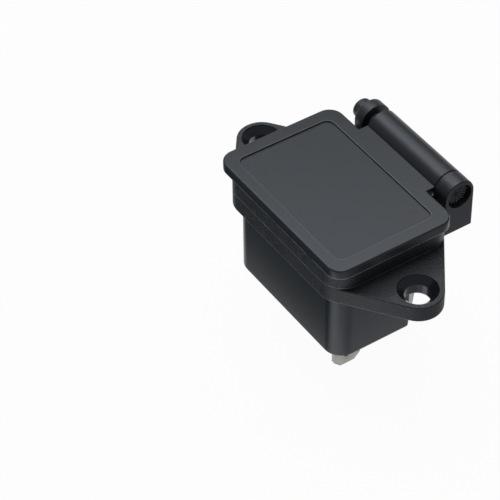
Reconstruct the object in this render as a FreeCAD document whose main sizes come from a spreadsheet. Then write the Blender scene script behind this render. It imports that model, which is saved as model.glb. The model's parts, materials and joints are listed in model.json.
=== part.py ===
import FreeCAD, Part
import math
import os
import re

import Sketcher

# C14 appliance inlet for panel mounting, with a sprung hinged cover.
#
# Frame: millimetres. The origin is midway between the two screw holes, on the underside of the
# flange, which seats on the panel. +X runs along the two screw holes towards the ear that the hinge
# pin is pressed into, +Y points from the inlet to the hinge, +Z out of the panel.

SIZES = {
    # screw flange
    "hole_spacing": 40.0,
    "screw_radius": 2.0,
    "screw_head_radius": 3.1,
    "countersink_angle": 90.0,
    "flange_thickness": 2.75,
    "flange_tip_radius": 3.88,
    # keyed recess for the plug, with two cut corners on the hinge side
    "recess_length": 24.4,
    "recess_width": 16.4,
    "recess_depth": 16.7,
    "recess_corner": 1.5,
    "key_along": 4.85,
    "key_across": 4.65,
    "recess_lead_in": 0.3,
    # collar round the recess, and the body behind the panel
    "rim_side": 2.55,
    "rim_front": 2.45,
    "collar_height": 6.05,
    "collar_corner": 3.9,
    "body_wall": 1.15,
    "body_corner": 3.0,
    "body_depth": 12.82,
    "edge_bevel": 0.3,
    "body_edge_bevel": 0.5,
    # hinge ears; offset from the collar's side, rise from the collar's top
    "hinge_offset": 3.4,
    "hinge_rise": 0.7,
    "hinge_radius": 2.65,
    "barrel_length": 16.73,
    "barrel_centre": -0.165,
    "ear_gap": 0.17,
    "spring_gap": 1.28,
    "near_ear_thickness": 2.78,
    "far_ear_thickness": 1.95,
    "ear_root_drop": 0.55,
    "boss_radius": 1.65,
    "boss_length": 1.95,
    "boss_wall": 0.5,
    "boss_round": 0.45,
    # hinge pin
    "pin_radius": 1.2,
    "pin_fit": 0.05,
    "pin_head_radius": 2.1,
    "pin_head_recess": 0.85,
    "spline_depth": 0.25,
    "spline_count": 22.0,
    "spline_crest": 0.3,
    "spline_foot": 0.9,
    "pin_end_gap": 0.1,
    "pin_chamfer": 0.2,
    # cover plate, measured from the collar it closes
    "cover_thickness": 1.665,
    "cover_corner": 2.42,
    "cover_overhang_side": 0.68,
    "cover_overhang_front": 0.46,
    "cover_setback": 0.5,
    "cover_edge_bevel": 0.3,
    "label_depth": 0.3,
    "label_side_margin": 2.3,
    "label_front_margin": 2.02,
    "label_back_margin": 2.42,
    "label_corner": 1.26,
    # rib under the cover that centres it in the recess
    "rib_clearance": 0.4,
    "rib_depth": 1.0,
    "rib_wall": 1.2,
    # barrel bore, spring room and stop heel
    "spring_room_radius": 1.9,
    "spring_room_depth": 4.6,
    "barrel_chamfer": 0.25,
    "open_limit": 105.0,
    "stop_margin": 1.0,
    "heel_reach": 3.65,
    "heel_thickness": 0.9,
    "heel_width": 8.0,
    # torsion spring
    "wire_radius": 0.2,
    "coil_radius": 1.55,
    "coil_pitch": 0.65,
    "coil_turns": 6.0,
    "leg_grip": 2.4,
    "leg_clearance": 0.08,
    "leg_seat_gap": 0.03,
    # contacts
    "blade_width": 4.0,
    "blade_thickness": 2.0,
    "blade_spacing": 14.0,
    "blade_row_gap": 4.0,
    "line_tip_below_rim": 4.5,
    "earth_tip_below_rim": 3.0,
    "blade_tip_chamfer": 0.55,
    "blade_fit": 0.02,
    "slot_pad_height": 0.6,
    "slot_pad_border": 1.1,
    "tab_width": 4.8,
    "tab_thickness": 0.8,
    "tab_length": 9.1,
    "tab_chamfer": 1.1,
    "tab_eye_radius": 0.7,
    "tab_eye_from_tip": 2.15,
    "tab_eye_length": 2.0,
}

# Sizes worked out from those above, as text that expressions can hold.
FLANGE_HALF = "(recess_width / 2 + rim_front)"
COLLAR_HALF = "(recess_length / 2 + rim_side)"
BODY_HALF_X = "(recess_length / 2 + body_wall)"
BODY_HALF_Y = "(recess_width / 2 + body_wall)"
HINGE_Y = f"({FLANGE_HALF} + hinge_offset)"
HINGE_Z = "(collar_height + hinge_rise)"
BARREL_NEAR = "(barrel_centre + barrel_length / 2)"
BARREL_FAR = "(barrel_centre - barrel_length / 2)"
NEAR_EAR = f"({BARREL_NEAR} + ear_gap)"
FAR_EAR = f"({BARREL_FAR} - spring_gap)"
NEAR_FACE = f"({NEAR_EAR} + near_ear_thickness)"
FAR_FACE = f"({FAR_EAR} - far_ear_thickness)"
FLOOR_Z = "(collar_height - recess_depth)"
UNDERSIDE_Z = "(-body_depth - slot_pad_height)"
COVER_HALF = f"({COLLAR_HALF} + cover_overhang_side)"
COVER_FRONT = f"(-{FLANGE_HALF} - cover_overhang_front)"
COVER_BACK = f"({FLANGE_HALF} - cover_setback)"
COVER_TOP = "(collar_height + cover_thickness)"
# The blades: place along X and Y, depth of the tip, and whether the contact is turned half round.
BLADES = {
    "line_contact": ("-blade_spacing / 2", "-blade_row_gap / 2", "line_tip_below_rim", True),
    "neutral_contact": ("blade_spacing / 2", "-blade_row_gap / 2", "line_tip_below_rim", False),
    "earth_contact": ("0", "blade_row_gap / 2", "earth_tip_below_rim", False),
}

# The coil's wire is drawn with this many flats, which keeps its surface light.
WIRE_SIDES = 8

doc = FreeCAD.newDocument("c14_inlet_with_cover")


def make_sheet():
    """The spreadsheet of driving sizes, one named cell each."""
    sheet = doc.addObject("Spreadsheet::Sheet", "Sizes")
    for row, (name, size) in enumerate(SIZES.items(), start=1):
        sheet.set(f"A{row}", name)
        sheet.set(f"B{row}", str(size))
        sheet.setAlias(f"B{row}", name)
    doc.recompute()
    return sheet


SHEET = make_sheet()


def in_sheet(text):
    """The expression with each size named as the spreadsheet's cell."""
    return re.sub(r"[a-z]+(_[a-z]+)+", lambda found: f"Sizes.{found.group()}", text)


def value(text):
    """The number that an expression gives now."""
    found = SHEET.evalExpression(in_sheet(text))
    return float(getattr(found, "Value", found))


def bind(owner, path, text):
    """Bind one property or constraint to an expression of the spreadsheet's sizes."""
    owner.setExpression(path, in_sheet(text))


def new_body(label):
    body = doc.addObject("PartDesign::Body", label)
    body.Label = label
    return body


def sketch_on(body, name, role, offset="0"):
    """An empty sketch on one of the body's own origin planes, or at a distance from it."""
    plane = next(f for f in body.Origin.OriginFeatures if f.Role == role)
    sketch = body.newObject("Sketcher::SketchObject", name)
    sketch.AttachmentSupport = (plane, [""])
    sketch.MapMode = "FlatFace"
    if offset != "0":
        bind(sketch, "AttachmentOffset.Base.z", offset)
    return sketch


def fix(sketch, kind, geometry, point, text):
    """One dimension of a sketch, bound to an expression."""
    args = (kind, geometry) if point is None else (kind, geometry, point)
    index = sketch.addConstraint(Sketcher.Constraint(*args, value(text)))
    bind(sketch, f"Constraints[{index}]", text)


def fix_point(sketch, geometry, point, x, y):
    fix(sketch, "DistanceX", geometry, point, x)
    fix(sketch, "DistanceY", geometry, point, y)


def circle(sketch, x, y, radius):
    """A circle about (x, y)."""
    centre = FreeCAD.Vector(value(x), value(y), 0)
    index = sketch.addGeometry(Part.Circle(centre, FreeCAD.Vector(0, 0, 1), value(radius)))
    fix(sketch, "Radius", index, None, radius)
    fix_point(sketch, index, 3, x, y)


def turned(vector, angle):
    return FreeCAD.Rotation(FreeCAD.Vector(0, 0, 1), math.degrees(angle)).multVec(vector)


def tangent(first, second):
    """Ends of the line that touches two circles, each (centre, radius), with both on its left."""
    across = second[0] - first[0]
    lean = math.asin((second[1] - first[1]) / across.Length)
    along = turned(across, -lean).normalize()
    left = FreeCAD.Vector(-along.y, along.x, 0)
    return first[0] - left * first[1], second[0] - left * second[1]


def arc_between(centre, radius, first, last):
    """The counterclockwise arc about a centre from one point to another."""
    ends = [math.atan2((p - centre).y, (p - centre).x) for p in (first, last)]
    if ends[1] <= ends[0]:
        ends[1] += 2 * math.pi
    ring = Part.Circle(centre, FreeCAD.Vector(0, 0, 1), radius)
    return Part.ArcOfCircle(ring, *ends)


def bend(spots, place):
    """Arc centre, first and last point and turn (1 left, -1 right) at one corner of an outline."""
    here, radius, tip = spots[place]
    neighbours = (spots[place - 1], spots[(place + 1) % len(spots)])
    if tip:
        before, after = ((centre, size if is_tip else 0.0) for centre, size, is_tip in neighbours)
        ring = (here, radius)
        return here, tangent(before, ring)[1], tangent(ring, after)[0], 1
    before, after = (centre for centre, *_ in neighbours)
    back = (before - here).normalize()
    ahead = (after - here).normalize()
    half = back.getAngle(ahead) / 2
    middle = here + (back + ahead).normalize() * (radius / math.sin(half))
    reach = radius / math.tan(half)
    turn = 1 if (here - before).cross(after - here).z > 0 else -1
    return middle, here + back * reach, here + ahead * reach, turn


def outline(sketch, corners):
    """A closed counterclockwise outline, fully held by bound dimensions.

    A corner is (x, y), a rounded corner (x, y, radius) or a round tip (x, y, radius, "tip"), whose
    arc is centred on (x, y) and runs tangent to the lines on both sides of it.
    """
    spots = []
    for corner in corners:
        radius = value(corner[2]) if len(corner) > 2 else 0.0
        spots.append((FreeCAD.Vector(value(corner[0]), value(corner[1]), 0), radius, len(corner) > 3))
    bends = [bend(spots, i) if spots[i][1] else None for i in range(len(spots))]
    starts = [b[2] if b else spots[i][0] for i, b in enumerate(bends)]
    ends = [b[1] if b else spots[i][0] for i, b in enumerate(bends)]
    ends = ends[1:] + ends[:1]
    first = sketch.addGeometry([Part.LineSegment(a, b) for a, b in zip(starts, ends)])[0]
    for i, corner in enumerate(corners):
        line, before = first + i, first + (i - 1) % len(corners)
        if not bends[i]:
            sketch.addConstraint(Sketcher.Constraint("Coincident", before, 2, line, 1))
            fix_point(sketch, line, 1, corner[0], corner[1])
            continue
        centre, entry, leave, turn = bends[i]
        ordered = (entry, leave) if turn > 0 else (leave, entry)
        arc = sketch.addGeometry(arc_between(centre, spots[i][1], *ordered))
        enter, exit_ = (1, 2) if turn > 0 else (2, 1)
        sketch.addConstraint(Sketcher.Constraint("Tangent", before, 2, arc, enter))
        sketch.addConstraint(Sketcher.Constraint("Tangent", line, 1, arc, exit_))
        fix(sketch, "Radius", arc, None, corner[2])
        if spots[i][2]:
            fix_point(sketch, arc, 3, corner[0], corner[1])
            continue
        mark = sketch.addGeometry(Part.Point(spots[i][0]), True)
        fix_point(sketch, mark, 1, corner[0], corner[1])
        for side in (before, line):
            sketch.addConstraint(Sketcher.Constraint("PointOnObject", mark, 1, side))


def box_outline(sketch, low_x, low_y, high_x, high_y, radius=None):
    """A rectangle, with rounded corners if a radius is given."""
    tail = (radius,) if radius else ()
    corners = [(low_x, low_y), (high_x, low_y), (high_x, high_y), (low_x, high_y)]
    outline(sketch, [corner + tail for corner in corners])


def centred_outline(sketch, half_x, half_y, radius=None):
    box_outline(sketch, f"-{half_x}", f"-{half_y}", half_x, half_y, radius)


def extrude(kind, body, sketch, length, flip):
    feature = body.newObject(f"PartDesign::{kind}", f"{sketch.Name}_{kind.lower()}")
    feature.Profile = sketch
    feature.Reversed = flip
    bind(feature, "Length", length)
    return feature


def pad(body, sketch, length, flip=False):
    """Add material along the sketch's normal, or against it when flipped."""
    feature = extrude("Pad", body, sketch, length, flip)
    doc.recompute()
    return feature


def pocket(body, sketch, length, flip=False):
    """Cut against the sketch's normal, or along it when flipped, and make sure that it cut."""
    volume = body.Shape.Volume
    feature = extrude("Pocket", body, sketch, length, flip)
    doc.recompute()
    if not feature.Shape.Volume < volume - 1e-4:
        raise RuntimeError(f"{feature.Name} cuts nothing")
    return feature


def dress(kind, body, size, chosen):
    """Round or bevel the edges of the body's last feature that the test picks."""
    base = body.Tip
    names = [f"Edge{i}" for i, edge in enumerate(base.Shape.Edges, start=1) if chosen(edge)]
    if not names:
        raise RuntimeError(f"{body.Label}: no edge to dress")
    feature = body.newObject(f"PartDesign::{kind}", f"{body.Name}_{kind.lower()}")
    feature.Base = (base, names)
    bind(feature, "Radius" if kind == "Fillet" else "Size", size)
    doc.recompute()
    return feature


def level(edge, axis, at):
    """True if the whole edge lies in the plane where that axis is at one value."""
    box = edge.BoundBox
    low, high = getattr(box, f"{axis}Min"), getattr(box, f"{axis}Max")
    near = 1e-4
    return abs(low - at) < near and abs(high - at) < near


def keyed_corners(inset, corner="recess_corner"):
    """The recess's outline, drawn in by an inset: two rounded corners, two cut ones."""
    along = f"(recess_length / 2 - {inset})"
    across = f"(recess_width / 2 - {inset})"
    # an offset inwards moves the ends of the slanting cut by this much of the inset
    lean = "atan(key_across / key_along)"
    cut_x = f"(key_along - {inset} * (1 - tan({lean} / 2)))"
    cut_y = f"(key_across - {inset} * (1 - tan((90 deg - {lean}) / 2)))"
    round_ = f"({corner} - {inset})"
    return [
        (f"-{along}", f"-{across}", round_),
        (along, f"-{across}", round_),
        (along, f"{across} - {cut_y}"),
        (f"{along} - {cut_x}", across),
        (f"-({along} - {cut_x})", across),
        (f"-{along}", f"{across} - {cut_y}"),
    ]


def ear_profile(sketch):
    """Side view of a hinge ear: upright, round on top about the hinge axis, rooted in the collar."""
    back = f"({HINGE_Y} + hinge_radius)"
    front = f"({HINGE_Y} - hinge_radius)"
    root_top = "(collar_height - ear_root_drop)"
    root = BODY_HALF_Y
    outline(sketch, [
        (root, "0"),
        (back, "0"),
        (HINGE_Y, HINGE_Z, "hinge_radius", "tip"),
        (front, root_top),
        (root, root_top),
    ])


def housing_blocks(housing):
    """Flange, body and collar, which make the one-piece moulding's outside."""
    flange = sketch_on(housing, "flange", "XY_Plane")
    tip = "hole_spacing / 2"
    corner_x = f"({COLLAR_HALF} - collar_corner)"
    corner_y = f"({FLANGE_HALF} - collar_corner)"
    outline(flange, [
        (f"-{corner_x}", f"-{corner_y}", "collar_corner", "tip"),
        (corner_x, f"-{corner_y}", "collar_corner", "tip"),
        (tip, "0", "flange_tip_radius", "tip"),
        (corner_x, corner_y, "collar_corner", "tip"),
        (f"-{corner_x}", corner_y, "collar_corner", "tip"),
        (f"-{tip}", "0", "flange_tip_radius", "tip"),
    ])
    pad(housing, flange, "flange_thickness")
    body = sketch_on(housing, "body", "XY_Plane")
    outline(body, keyed_corners("(-body_wall)", "(body_corner - body_wall)"))
    pad(housing, body, "body_depth", flip=True)
    collar = sketch_on(housing, "collar", "XY_Plane")
    centred_outline(collar, COLLAR_HALF, FLANGE_HALF, "collar_corner")
    pad(housing, collar, "collar_height")


def housing_hinge(housing):
    """Two ears, the ledge that joins them under the barrel and the far ear's closed boss."""
    near = sketch_on(housing, "near_ear", "YZ_Plane", NEAR_EAR)
    ear_profile(near)
    pad(housing, near, "near_ear_thickness")
    far = sketch_on(housing, "far_ear", "YZ_Plane", FAR_EAR)
    ear_profile(far)
    pad(housing, far, "far_ear_thickness", flip=True)
    ledge = sketch_on(housing, "ledge", "XY_Plane")
    box_outline(ledge, FAR_FACE, BODY_HALF_Y, NEAR_FACE, f"({HINGE_Y} + hinge_radius)")
    pad(housing, ledge, "flange_thickness")
    boss = sketch_on(housing, "boss", "YZ_Plane", FAR_FACE)
    circle(boss, HINGE_Y, HINGE_Z, "boss_radius")
    pad(housing, boss, "boss_length", flip=True)
    boss_end = value(FAR_FACE) - value("boss_length")
    dress("Fillet", housing, "boss_round", lambda edge: level(edge, "X", boss_end))


def housing_edges(housing):
    """Softened edges: body underside, collar top and the ears' outer faces."""
    underside = -value("body_depth")
    dress("Chamfer", housing, "body_edge_bevel", lambda edge: level(edge, "Z", underside))
    top = value("collar_height")
    dress("Chamfer", housing, "edge_bevel", lambda edge: level(edge, "Z", top))
    faces = (value(NEAR_FACE), value(FAR_FACE))
    above = value("flange_thickness")
    boss = value("boss_radius")

    def on_ear(edge):
        outer = any(level(edge, "X", face) for face in faces)
        return outer and edge.BoundBox.ZMax > above and edge.BoundBox.YLength > 2 * boss

    dress("Chamfer", housing, "edge_bevel", on_ear)


def slot_corners(row_x, row_y, border):
    """Low and high corners of the rectangle round one blade."""
    half_x = f"(blade_thickness / 2 + {border})"
    half_y = f"(blade_width / 2 + {border})"
    return (f"{row_x} - {half_x}", f"{row_y} - {half_y}", f"{row_x} + {half_x}", f"{row_y} + {half_y}")


def housing_recess(housing):
    """The keyed recess, its floor's slots for the blades and the raised pads round them."""
    recess = sketch_on(housing, "recess", "XY_Plane", "collar_height")
    outline(recess, keyed_corners("0"))
    pocket(housing, recess, "recess_depth")
    pads = sketch_on(housing, "slot_pads", "XY_Plane", "-body_depth")
    slots = sketch_on(housing, "blade_slots", "XY_Plane", UNDERSIDE_Z)
    for row_x, row_y, *_ in BLADES.values():
        box_outline(pads, *slot_corners(row_x, row_y, "slot_pad_border"))
        box_outline(slots, *slot_corners(row_x, row_y, "blade_fit"))
    pad(housing, pads, "slot_pad_height", flip=True)
    housing.removeObject(slots)
    housing.addObject(slots)
    pocket(housing, slots, f"({FLOOR_Z} - {UNDERSIDE_Z})", flip=True)
    top = value("collar_height")
    inside = value(COLLAR_HALF) - value("rim_side") / 2
    dress("Chamfer", housing, "recess_lead_in",
          lambda edge: level(edge, "Z", top) and edge.BoundBox.XMax < inside
          and edge.BoundBox.YMax < value(FLANGE_HALF) - value("rim_front") / 2
          and edge.BoundBox.YMin > -value(FLANGE_HALF) + value("rim_front") / 2
          and edge.BoundBox.XMin > -inside)


def housing_bores(housing):
    """Countersunk screw holes, the near ear's bore for the pin's head and the boss's blind bore."""
    screws = sketch_on(housing, "screw_holes", "XY_Plane", "flange_thickness")
    for side in ("-", ""):
        circle(screws, f"{side}hole_spacing / 2", "0", "screw_radius")
    doc.recompute()
    hole = housing.newObject("PartDesign::Hole", "screw_hole")
    hole.Profile = screws
    doc.recompute()
    hole.DepthType = "ThroughAll"
    hole.HoleCutType = "Countersink"
    hole.HoleCutCustomValues = True
    bind(hole, "Diameter", "2 * screw_radius")
    bind(hole, "HoleCutDiameter", "2 * screw_head_radius")
    bind(hole, "HoleCutCountersinkAngle", "countersink_angle * 1 deg")
    doc.recompute()
    head = sketch_on(housing, "pin_head_bore", "YZ_Plane", NEAR_FACE)
    circle(head, HINGE_Y, HINGE_Z, "pin_head_radius")
    pocket(housing, head, "near_ear_thickness")
    blind = sketch_on(housing, "pin_end_bore", "YZ_Plane", FAR_EAR)
    circle(blind, HINGE_Y, HINGE_Z, "pin_radius + pin_fit / 2")
    pocket(housing, blind, "far_ear_thickness + boss_length - boss_wall")


def make_housing():
    housing = new_body("housing")
    housing_blocks(housing)
    housing_hinge(housing)
    housing_edges(housing)
    housing_recess(housing)
    housing_bores(housing)
    return housing


def cover_plate(cover):
    """Lid plate with its label recess, and the leaf that carries the barrel."""
    plate = sketch_on(cover, "plate", "XY_Plane", "collar_height")
    box_outline(plate, f"-{COVER_HALF}", COVER_FRONT, COVER_HALF, COVER_BACK, "cover_corner")
    pad(cover, plate, "cover_thickness")
    leaf = sketch_on(cover, "leaf", "XY_Plane", "collar_height")
    box_outline(leaf, BARREL_FAR, f"({COVER_BACK} - cover_corner)", BARREL_NEAR, HINGE_Y)
    pad(cover, leaf, "cover_thickness")
    top = value(COVER_TOP)
    back = value(COVER_BACK) + 1e-4
    dress("Chamfer", cover, "cover_edge_bevel",
          lambda edge: level(edge, "Z", top) and edge.BoundBox.YMax < back)
    label = sketch_on(cover, "label_recess", "XY_Plane", COVER_TOP)
    half = f"({COVER_HALF} - label_side_margin)"
    box_outline(label, f"-{half}", f"{COVER_FRONT} + label_front_margin", half,
                f"{COVER_BACK} - label_back_margin", "label_corner")
    pocket(cover, label, "label_depth")


def cover_barrel(cover):
    """Barrel with bearing bore and spring room, and the heel that stops the cover when open."""
    barrel = sketch_on(cover, "barrel", "YZ_Plane", BARREL_FAR)
    circle(barrel, HINGE_Y, HINGE_Z, "hinge_radius")
    pad(cover, barrel, "barrel_length")
    # the heel's working face meets the collar's side just past the open limit
    meets = "acos(hinge_offset / heel_reach)"
    lean = f"(180 deg - {meets} - (open_limit + stop_margin) * 1 deg)"
    heel = sketch_on(cover, "heel", "YZ_Plane", "barrel_centre - heel_width / 2")

    def heel_point(reach, step):
        return (f"{HINGE_Y} + {reach} * cos({lean}) + {step} * sin({lean})",
                f"{HINGE_Z} - {reach} * sin({lean}) + {step} * cos({lean})")

    inner = "hinge_radius * 0.9"
    outline(heel, [heel_point(inner, "0"), heel_point("heel_reach", "0"),
                   heel_point("heel_reach", "heel_thickness"), heel_point(inner, "heel_thickness")])
    pad(cover, heel, "heel_width")
    ends = (value(BARREL_NEAR), value(BARREL_FAR))
    above = value(COVER_TOP)
    dress("Chamfer", cover, "barrel_chamfer",
          lambda edge: any(level(edge, "X", end) for end in ends) and edge.BoundBox.ZMax > above + 1)
    bore = sketch_on(cover, "bearing_bore", "YZ_Plane", BARREL_NEAR)
    circle(bore, HINGE_Y, HINGE_Z, "pin_radius + pin_fit")
    pocket(cover, bore, "barrel_length")
    room = sketch_on(cover, "spring_room", "YZ_Plane", BARREL_FAR)
    circle(room, HINGE_Y, HINGE_Z, "spring_room_radius")
    pocket(cover, room, "spring_room_depth", flip=True)
    grip = sketch_on(cover, "leg_hole", "YZ_Plane", f"{BARREL_FAR} + spring_room_depth")
    circle(grip, f"{HINGE_Y} + coil_radius", HINGE_Z, "wire_radius + leg_clearance")
    pocket(cover, grip, "leg_grip", flip=True)


def cover_rib(cover):
    """Rib on the underside that drops into the recess, following its keyed outline."""
    rib = sketch_on(cover, "rib", "XY_Plane", "collar_height")
    outline(rib, keyed_corners("rib_clearance"))
    pad(cover, rib, "rib_depth", flip=True)
    hollow = sketch_on(cover, "rib_hollow", "XY_Plane", "collar_height - rib_depth")
    half_x = "(recess_length / 2 - rib_clearance - rib_wall)"
    half_y = "(recess_width / 2 - rib_clearance - rib_wall)"
    cut_x = "(key_along - rib_wall / 2)"
    cut_y = "(key_across - rib_wall / 2)"
    outline(hollow, [
        (f"-{half_x}", f"-{half_y}"),
        (half_x, f"-{half_y}"),
        (half_x, f"{half_y} - {cut_y}"),
        (f"{half_x} - {cut_x}", half_y),
        (f"-({half_x} - {cut_x})", half_y),
        (f"-{half_x}", f"{half_y} - {cut_y}"),
    ])
    pocket(cover, hollow, "rib_depth", flip=True)


def make_cover():
    cover = new_body("cover")
    cover_plate(cover)
    cover_barrel(cover)
    cover_rib(cover)
    return cover


def place_on_hinge(body, x):
    """Stand a body's own Z axis along the hinge, pointing to +X, starting at x."""
    body.Placement = FreeCAD.Placement(FreeCAD.Vector(), FreeCAD.Rotation(FreeCAD.Vector(0, 1, 0), 90))
    for axis, text in zip("xyz", (x, HINGE_Y, HINGE_Z)):
        bind(body, f"Placement.Base.{axis}", text)


def make_pin():
    """Hinge pin: plain shaft from the blind boss to the near ear, and a splined head there."""
    pin = new_body("hinge_pin")
    tip_x = f"({FAR_FACE} - boss_length + boss_wall + pin_end_gap)"
    shaft = f"({NEAR_EAR} - {tip_x})"
    whole = f"({NEAR_FACE} - pin_head_recess - {tip_x})"
    root = "(pin_head_radius - spline_depth)"
    half_view = sketch_on(pin, "pin_half_view", "XZ_Plane")
    outline(half_view, [
        ("0", "0"),
        ("pin_radius - pin_chamfer", "0"),
        ("pin_radius", "pin_chamfer"),
        ("pin_radius", shaft),
        (root, shaft),
        (root, f"{whole} - pin_chamfer"),
        (f"{root} - pin_chamfer", whole),
        ("0", whole),
    ])
    turning = pin.newObject("PartDesign::Revolution", "pin_turning")
    turning.Profile = half_view
    turning.ReferenceAxis = (half_view, ["V_Axis"])
    turning.Angle = 360
    doc.recompute()
    tooth = sketch_on(pin, "spline", "XY_Plane", shaft)
    # each ridge spans a share of its pitch angle at the crest, and more at its foot
    crest = "(spline_crest * 180 deg / spline_count)"
    foot = "(spline_foot * 180 deg / spline_count)"
    deep = f"({root} - spline_depth)"
    outline(tooth, [
        (f"{deep} * cos({foot})", f"-{deep} * sin({foot})"),
        (f"pin_head_radius * cos({crest})", f"-pin_head_radius * sin({crest})"),
        (f"pin_head_radius * cos({crest})", f"pin_head_radius * sin({crest})"),
        (f"{deep} * cos({foot})", f"{deep} * sin({foot})"),
    ])
    ridge = pad(pin, tooth, f"{whole} - {shaft} - pin_chamfer")
    splines = pin.newObject("PartDesign::PolarPattern", "splines")
    splines.Originals = [ridge]
    splines.Axis = (half_view, ["V_Axis"])
    splines.Angle = 360
    bind(splines, "Occurrences", "spline_count")
    pin.Tip = splines
    place_on_hinge(pin, tip_x)
    doc.recompute()
    return pin


def make_spring():
    """Torsion spring: one leg stands on the ledge, the other is held in the barrel."""
    spring = new_body("cover_spring")
    wire = sketch_on(spring, "wire", "YZ_Plane")
    turns = [f"{(k + 0.5) * 360 / WIRE_SIDES} deg" for k in range(WIRE_SIDES)]
    outline(wire, [(f"coil_radius + wire_radius * cos({turn})", f"wire_radius * sin({turn})")
                   for turn in turns])
    coil = spring.newObject("PartDesign::AdditiveHelix", "coil")
    coil.Profile = wire
    coil.ReferenceAxis = (wire, ["V_Axis"])
    coil.Mode = "pitch-turns-angle"
    bind(coil, "Pitch", "coil_pitch")
    bind(coil, "Turns", "coil_turns")
    doc.recompute()
    standing = sketch_on(spring, "standing_leg", "YZ_Plane")
    circle(standing, "coil_radius", "0", "wire_radius")
    pad(spring, standing, f"{HINGE_Z} - flange_thickness - leg_seat_gap")
    held = sketch_on(spring, "held_leg", "XY_Plane", "coil_pitch * coil_turns - wire_radius")
    circle(held, "0", "coil_radius", "wire_radius")
    pad(spring, held, f"leg_grip + spring_room_depth + spring_gap / 2 - coil_pitch * coil_turns")
    place_on_hinge(spring, f"{FAR_EAR} + spring_gap / 2")
    doc.recompute()
    return spring


def make_contact(label, row_x, row_y, tip_below_rim, half_turn):
    """One blade with its bevelled tip, and the flat solder tab behind the housing."""
    contact = new_body(label)
    blade = sketch_on(contact, f"{label}_blade", "XY_Plane", UNDERSIDE_Z)
    centred_outline(blade, "blade_thickness / 2", "blade_width / 2")
    tip = f"(collar_height - {tip_below_rim})"
    pad(contact, blade, f"{tip} - {UNDERSIDE_Z}")
    top = value(tip)
    dress("Chamfer", contact, "blade_tip_chamfer", lambda edge: level(edge, "Z", top))
    # the tab is flush with the blade's sides that face -X and +Y before the contact is turned
    side = "(-blade_thickness / 2)"
    flush = "(blade_width / 2)"
    end = f"({UNDERSIDE_Z} - tab_length)"
    tab = sketch_on(contact, f"{label}_tab", "YZ_Plane", side)
    outline(tab, [
        (f"{flush} - tab_width", UNDERSIDE_Z),
        (f"{flush} - tab_width", f"{end} + tab_chamfer"),
        (f"{flush} - tab_width + tab_chamfer", end),
        (f"{flush} - tab_chamfer", end),
        (flush, f"{end} + tab_chamfer"),
        (flush, UNDERSIDE_Z),
    ])
    pad(contact, tab, "tab_thickness")
    eye = sketch_on(contact, f"{label}_eye", "YZ_Plane", f"{side} + tab_thickness")
    middle = f"({flush} - tab_width / 2)"
    low = f"({end} + tab_eye_from_tip)"
    slot_outline(eye, middle, low, "tab_eye_length", "tab_eye_radius")
    pocket(contact, eye, "tab_thickness")
    if half_turn:
        contact.Placement.Rotation = FreeCAD.Rotation(FreeCAD.Vector(0, 0, 1), 180)
    bind(contact, "Placement.Base.x", row_x)
    bind(contact, "Placement.Base.y", row_y)
    doc.recompute()
    return contact


def slot_outline(sketch, x, low, length, radius):
    """An upright slot with round ends: low end's centre at (x, low)."""
    high = f"({low} + {length})"
    left = f"({x} - {radius})"
    right = f"({x} + {radius})"
    middle = f"({low} + {length} / 2)"
    outline(sketch, [
        (x, low, radius, "tip"),
        (right, middle),
        (x, high, radius, "tip"),
        (left, middle),
    ])


def check_document():
    """Stop if any object of the document has failed."""
    for item in doc.Objects:
        if "Invalid" in item.State or "Error" in item.State:
            raise RuntimeError(f"{item.Name} is {item.State}")
        if item.TypeId == "Sketcher::SketchObject" and not item.FullyConstrained:
            raise RuntimeError(f"{item.Name} isn't fully constrained")


def write(bodies):
    """Check every shape, then write each body to its own file."""
    check_document()
    for body in bodies:
        if body.Shape.isNull() or not body.Shape.isValid() or len(body.Shape.Solids) != 1:
            raise RuntimeError(f"{body.Label} has no single valid solid")
    os.makedirs("parts", exist_ok=True)
    for body in bodies:
        body.Shape.exportStep(f"parts/{body.Label}.step")
        box = body.Shape.BoundBox
        print(f"{body.Label}: {body.Shape.Volume:.1f} mm3, x {box.XMin:.2f}..{box.XMax:.2f}, "
              f"y {box.YMin:.2f}..{box.YMax:.2f}, z {box.ZMin:.2f}..{box.ZMax:.2f}")


pieces = [make_housing(), make_cover(), make_pin(), make_spring()]
pieces += [make_contact(label, *place) for label, place in BLADES.items()]
doc.recompute()
write(pieces)
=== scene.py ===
"""C14 panel inlet with a sprung hinged cover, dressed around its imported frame.

Every piece of the socket is modelled here at its true size, in metres, and takes its place from
the frame's own nodes and joint. Sizes are written in millimetres and turned into metres once. An
ease is the width of a rounded edge and its steps.
"""

import json
import logging
import math
from collections.abc import Callable
from dataclasses import dataclass
from enum import Enum
from functools import cached_property

import bmesh
import bpy
from mathutils import Matrix, Vector


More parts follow.
